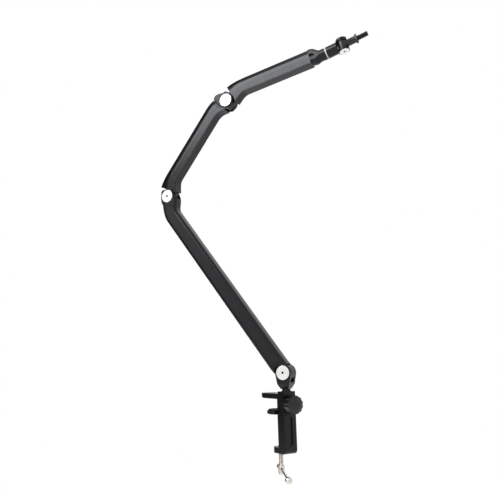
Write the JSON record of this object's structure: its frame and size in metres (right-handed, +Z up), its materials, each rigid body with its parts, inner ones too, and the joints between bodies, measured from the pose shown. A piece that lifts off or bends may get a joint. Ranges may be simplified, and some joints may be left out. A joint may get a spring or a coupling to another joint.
{
  "type": "microphone boom arm",
  "caption": "Black desk-clamped microphone boom arm with hinged sections on friction pivots, a swivel base and a tilting head with a threaded stud.",
  "frame": {"origin": "middle of the jaw rubber's underside, where it lies on the desk's top", "axes": "+Z up, +Y in over the desk, +X along the desk's edge"},
  "size_m": [0.2565, 0.3797, 0.7856],
  "materials": {
    "black_casting": "satin black paint",
    "black_tube": "satin black paint",
    "black_panel": "matt",
    "black_cover": "satin",
    "black_knob": "semi gloss",
    "black_rubber": "matt",
    "black_pad": "satin",
    "nylon": "matt",
    "nickel_disc": "turned",
    "black_cap": "satin black",
    "nickel_screw": "bright nickel",
    "black_steel": "black oxide",
    "white_ring": "semi gloss"
  },
  "bodies": {
    "clamp": {"clamp_bracket": "black_casting", "jaw_rubber": "black_rubber", "socket_bush": "nylon"},
    "knob": {"lock_knob": "black_knob", "lock_screw": "black_steel"},
    "pad": {"pressure_pad": "black_pad", "pad_rubber": "black_rubber"},
    "screw": {"clamp_screw": "nickel_screw"},
    "bar": {"tommy_bar": "nickel_screw", "tommy_ball_long": "nickel_screw", "tommy_ball_short": "nickel_screw"},
    "yoke": {"yoke": "black_casting", "post": "black_steel", "shoulder_pivot_screw": "nickel_disc", "shoulder_pivot_nut": "nickel_disc", "shoulder_washer_near": "nylon", "shoulder_washer_far": "nylon"},
    "lower_arm": {"shoulder_bush": "nylon", "lower_tongue": "black_casting", "lower_tube": "black_tube", "lower_fork": "black_casting", "lower_panel_near": "black_panel", "lower_panel_far": "black_panel", "elbow_pivot_screw": "nickel_disc", "elbow_pivot_nut": "nickel_disc", "elbow_washer_near": "nylon", "elbow_washer_far": "nylon"},
    "middle_arm": {"elbow_bush": "nylon", "middle_frame": "black_casting", "middle_cover": "black_cover", "wrist_pivot_screw": "nickel_disc", "wrist_pivot_nut": "nickel_disc", "wrist_washer_near": "nylon", "wrist_washer_far": "nylon"},
    "upper_arm": {"wrist_bush": "nylon", "upper_frame": "black_casting", "upper_cover": "black_cover", "swivel_ring": "white_ring"},
    "head": {"swivel_pin": "black_steel", "head_fork": "black_casting", "head_pivot_screw": "nickel_disc", "head_pivot_nut": "black_cap", "head_washer_near": "nylon", "head_washer_far": "nylon"},
    "stud": {"mic_stud": "black_steel", "stud_nut": "black_steel"}
  },
  "joints": [
    {"name": "base_swivel", "type": "hinge", "parent": "clamp", "child": "yoke", "pos_m": [0, -0.039, 0], "axis": [0, 0, 1], "continuous": true},
    {"name": "shoulder", "type": "hinge", "parent": "yoke", "child": "lower_arm", "pos_m": [0, -0.039, 0.046], "axis": [-0.8368, -0.5476, 0], "range_deg": [-94.2, 25.8]},
    {"name": "elbow", "type": "hinge", "parent": "lower_arm", "child": "middle_arm", "pos_m": [-0.13191, 0.16258, 0.40049], "axis": [-0.8368, -0.5476, 0], "range_deg": [-17.2, 162.8]},
    {"name": "wrist", "type": "hinge", "parent": "middle_arm", "child": "upper_arm", "pos_m": [-0.05549, 0.0458, 0.57531], "axis": [-0.8368, -0.5476, 0], "range_deg": [-52.2, 127.8]},
    {"name": "head_swivel", "type": "hinge", "parent": "upper_arm", "child": "head", "pos_m": [0.05883, -0.12889, 0.62582], "axis": [0.5322, -0.8133, 0.2351], "continuous": true},
    {"name": "head_tilt", "type": "hinge", "parent": "head", "child": "stud", "pos_m": [0.07618, -0.15541, 0.63349], "axis": [-0.1288, 0.1968, 0.972], "range_deg": [-90, 90]},
    {"name": "lock_knob_turn", "type": "hinge", "parent": "clamp", "child": "knob", "pos_m": [0, -0.039, -0.0088], "axis": [0, -1, 0], "range_deg": [0, 720]},
    {"name": "pad_slide", "type": "slide", "parent": "clamp", "child": "pad", "axis": [0, 0, 1], "range_m": [-0.055, 0.017]},
    {"name": "screw_turn", "type": "hinge", "parent": "pad", "child": "screw", "pos_m": [0, -0.0137, 0], "axis": [0, 0, 1], "range_deg": [-15840, 4896]},
    {"name": "tommy_bar_slide", "type": "slide", "parent": "screw", "child": "bar", "axis": [-0.3798, -0.917, -0.1219], "range_m": [-0.053, 0]}
  ],
  "couplings": [
    {"joint": "screw_turn", "follows": "pad_slide", "rad_per_m": 5026.5}
  ]
}
